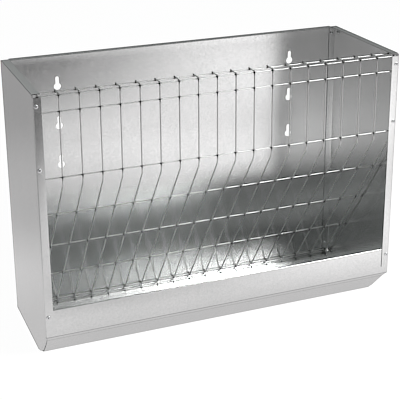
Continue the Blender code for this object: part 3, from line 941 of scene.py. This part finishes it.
def zinc_wire():
    """Drawn, zinc-plated wire, dulled where the welds heated it."""
    shader = Shader("zinc_wire", *WIRE_PLAIN)
    heat = shader.node("ShaderNodeAttribute", attribute_name="weld_heat").outputs["Fac"]
    grain = shader.noise(WIRE_GRAIN_SIZE, 2.0)
    colour = shader.mixed(grain, WIRE_DARK, WIRE_LIGHT)
    burnt = shader.ranged(heat, 0.0, BURNT_SHARE, 0.15, 0.75)
    colour = shader.mixed(burnt, colour, BURNT)
    dulled = shader.ranged(heat, 0.0, 0.2, 0.2)
    rough = shader.maths("ADD", shader.ranged(grain, *WIRE_ROUGHNESS), dulled)
    shader.connect(Base_Color=colour, Roughness=rough, Normal=shader.bump(grain, WIRE_GRAIN_DEPTH))
    return shader.material


def weld_metal():
    """Burnt zinc and bare steel on the weld beads."""
    shader = Shader("weld_metal", *WELD_PLAIN)
    soot = shader.noise(SOOT_SIZE, 3.0)
    colour = shader.mixed(soot, BURNT, SOOT_LIGHT)
    rough = shader.ranged(soot, *SOOT_ROUGHNESS)
    shader.connect(Base_Color=colour, Roughness=rough, Normal=shader.bump(soot, SOOT_DEPTH))
    return shader.material


def rivet_metal():
    """Satin aluminium, with the broken end of the steel mandrel dark in the middle of the head."""
    shader = Shader("rivet_metal", *RIVET_PLAIN)
    position = shader.node("ShaderNodeSeparateXYZ")
    shader.fill(position, Vector=shader.place)
    across = shader.maths("POWER", position.outputs["X"], 2.0)
    upward = shader.maths("POWER", position.outputs["Y"], 2.0)
    radius = shader.maths("POWER", shader.maths("ADD", across, upward), 0.5)
    mandrel = shader.ranged(radius, 1.0, 0.0, *MANDREL_EDGE)
    grain = shader.noise(RIVET_GRAIN_SIZE, 2.0)
    skin = shader.mixed(grain, RIVET_DARK, RIVET_LIGHT)
    colour = shader.mixed(mandrel, skin, MANDREL_STEEL)
    dulled = shader.ranged(mandrel, 0.0, 0.25)
    rough = shader.maths("ADD", shader.ranged(grain, *RIVET_ROUGHNESS), dulled)
    shader.connect(Base_Color=colour, Roughness=rough)
    return shader.material


def dress_clips(material):
    """The hidden clips keep their solids and get the sheet's finish."""
    for name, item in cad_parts.items():
        if name.startswith("grid_clip"):
            item.data.materials.clear()
            item.data.materials.append(material)


def floor_patch(tree, place, centre, inner, outer, squeeze):
    """A round patch that fades from 1 inside its inner radius to 0 at its outer radius."""
    narrowed = tree.nodes.new("ShaderNodeVectorMath")
    narrowed.operation = "MULTIPLY"
    tree.links.new(place, narrowed.inputs[0])
    narrowed.inputs[1].default_value = squeeze
    gap = tree.nodes.new("ShaderNodeVectorMath")
    gap.operation = "DISTANCE"
    tree.links.new(narrowed.outputs["Vector"], gap.inputs[0])
    gap.inputs[1].default_value = [a * b for a, b in zip(centre, squeeze)]
    fade = tree.nodes.new("ShaderNodeMapRange")
    fade.interpolation_type = "SMOOTHSTEP"
    tree.links.new(gap.outputs["Value"], fade.inputs["Value"])
    fade.inputs["From Min"].default_value = inner
    fade.inputs["From Max"].default_value = outer
    fade.inputs["To Min"].default_value = 1
    fade.inputs["To Max"].default_value = 0
    return fade.outputs["Result"]


def stage_floor():
    """A floor that the metal mirrors with painted pools of light and painted shade; the camera sees it plain
    and pale.
    """
    material = bpy.data.materials.new("stage_floor")
    material.use_nodes = True
    tree = material.node_tree
    tree.nodes.clear()
    place = tree.nodes.new("ShaderNodeTexCoord").outputs["Object"]
    strength = FLOOR_GLOW
    for centre, inner, outer, squeeze, amount in FLOOR_PATCHES:
        patch = floor_patch(tree, place, centre, inner, outer, squeeze)
        strength = maths(tree, "ADD", strength, maths(tree, "MULTIPLY", patch, amount))
    glow = tree.nodes.new("ShaderNodeEmission")
    glow.inputs["Color"].default_value = (*FLOOR_COLOUR, 1)
    tree.links.new(strength, glow.inputs["Strength"])
    white = tree.nodes.new("ShaderNodeEmission")
    white.inputs["Strength"].default_value = FLOOR_SEEN_GLOW
    matt = tree.nodes.new("ShaderNodeBsdfDiffuse")
    matt.inputs["Color"].default_value = (*FLOOR_SEEN_COLOUR, 1)
    seen = tree.nodes.new("ShaderNodeAddShader")
    tree.links.new(white.outputs[0], seen.inputs[0])
    tree.links.new(matt.outputs[0], seen.inputs[1])
    path = tree.nodes.new("ShaderNodeLightPath")
    mix = tree.nodes.new("ShaderNodeMixShader")
    tree.links.new(path.outputs["Is Camera Ray"], mix.inputs[0])
    tree.links.new(glow.outputs[0], mix.inputs[1])
    tree.links.new(seen.outputs[0], mix.inputs[2])
    output = tree.nodes.new("ShaderNodeOutputMaterial")
    tree.links.new(mix.outputs[0], output.inputs["Surface"])

    bm = bmesh.new()
    bmesh.ops.create_grid(bm, x_segments=2, y_segments=2, size=FLOOR_HALF_SIZE)
    location = (0, 0, cad_box[0][2] - FLOOR_DROP)
    floor = add_object("stage_floor", mesh_from(bm, "stage_floor"), material, location)


def stage_world():
    """A sky that is dark at the horizon, brightest a little above it; the camera sees it plain white."""
    world = bpy.data.worlds.new("studio")
    bpy.context.scene.world = world
    world.use_nodes = True
    tree = world.node_tree
    place = tree.nodes.new("ShaderNodeTexCoord").outputs["Generated"]
    split = tree.nodes.new("ShaderNodeSeparateXYZ")
    tree.links.new(place, split.inputs[0])
    height = tree.nodes.new("ShaderNodeValToRGB")
    height.color_ramp.interpolation = "EASE"
    tree.links.new(split.outputs["Z"], height.inputs["Fac"])
    while len(height.color_ramp.elements) < len(SKY):
        height.color_ramp.elements.new(0.5)
    for element, (rise, brightness) in zip(height.color_ramp.elements, SKY):
        element.position = rise
        element.color = (brightness, brightness, brightness, 1)
    path = tree.nodes.new("ShaderNodeLightPath")
    choose = tree.nodes.new("ShaderNodeMix")
    tree.links.new(path.outputs["Is Camera Ray"], choose.inputs[0])
    tree.links.new(height.outputs["Color"], choose.inputs[2])
    choose.inputs[3].default_value = 1.0
    background = tree.nodes["Background"]
    background.inputs["Color"].default_value = (*SKY_COLOUR, 1)
    tree.links.new(choose.outputs[0], background.inputs["Strength"])


def soft_light(name, place, target, width, height, power):
    light = bpy.data.lights.new(name, "AREA")
    light.shape = "RECTANGLE"
    light.size = width
    light.size_y = height
    light.energy = power
    item = bpy.data.objects.new(name, light)
    item.location = place
    item.rotation_euler = (Vector(target) - Vector(place)).to_track_quat("-Z", "Y").to_euler()
    bpy.context.scene.collection.objects.link(item)
    item.visible_camera = False


def add_sharpening():
    """The crispness of a catalogue photograph, as a light sharpening of the finished picture."""
    scene = bpy.context.scene
    scene.use_nodes = True
    tree = scene.node_tree
    tree.nodes.clear()
    layers = tree.nodes.new("CompositorNodeRLayers")
    sharpen = tree.nodes.new("CompositorNodeFilter")
    sharpen.filter_type = "SHARPEN"
    sharpen.inputs["Fac"].default_value = SHARPENING
    composite = tree.nodes.new("CompositorNodeComposite")
    tree.links.new(layers.outputs["Image"], sharpen.inputs["Image"])
    tree.links.new(sharpen.outputs["Image"], composite.inputs["Image"])


def add_camera():
    forward = Vector((
        math.sin(CAMERA_YAW) * math.cos(CAMERA_PITCH),
        math.cos(CAMERA_YAW) * math.cos(CAMERA_PITCH),
        -math.sin(CAMERA_PITCH),
    ))
    level = Vector((math.cos(CAMERA_YAW), -math.sin(CAMERA_YAW), 0))
    upright = level.cross(forward)
    right = level * math.cos(CAMERA_ROLL) + upright * math.sin(CAMERA_ROLL)
    up = upright * math.cos(CAMERA_ROLL) - level * math.sin(CAMERA_ROLL)
    data = bpy.data.cameras.new("camera")
    data.sensor_width = CAMERA_SENSOR
    data.lens = CAMERA_LENS
    data.shift_y = CAMERA_SHIFT
    camera = bpy.data.objects.new("camera", data)
    turn = Matrix((right, up, -forward)).transposed().to_4x4()
    camera.matrix_world = Matrix.Translation(CAMERA_PLACE) @ turn
    bpy.context.scene.collection.objects.link(camera)
    bpy.context.scene.camera = camera


sheet_material = galvanised_sheet("galvanised_sheet")
body_material = galvanised_sheet("pressed_sheet", DARK_LINE_LEVELS)
edge_material = cut_edge()
add_body_sheet([body_material, edge_material])
add_side_panel("left", -1, [sheet_material, edge_material])
add_side_panel("right", 1, [sheet_material, edge_material])
add_grid(zinc_wire(), weld_metal())
add_rivets(rivet_metal())
dress_clips(sheet_material)
stage_floor()
stage_world()
for values in SOFT_LIGHTS:
    soft_light(*values)
add_camera()
add_sharpening()
bpy.context.scene.view_settings.view_transform = "Standard"
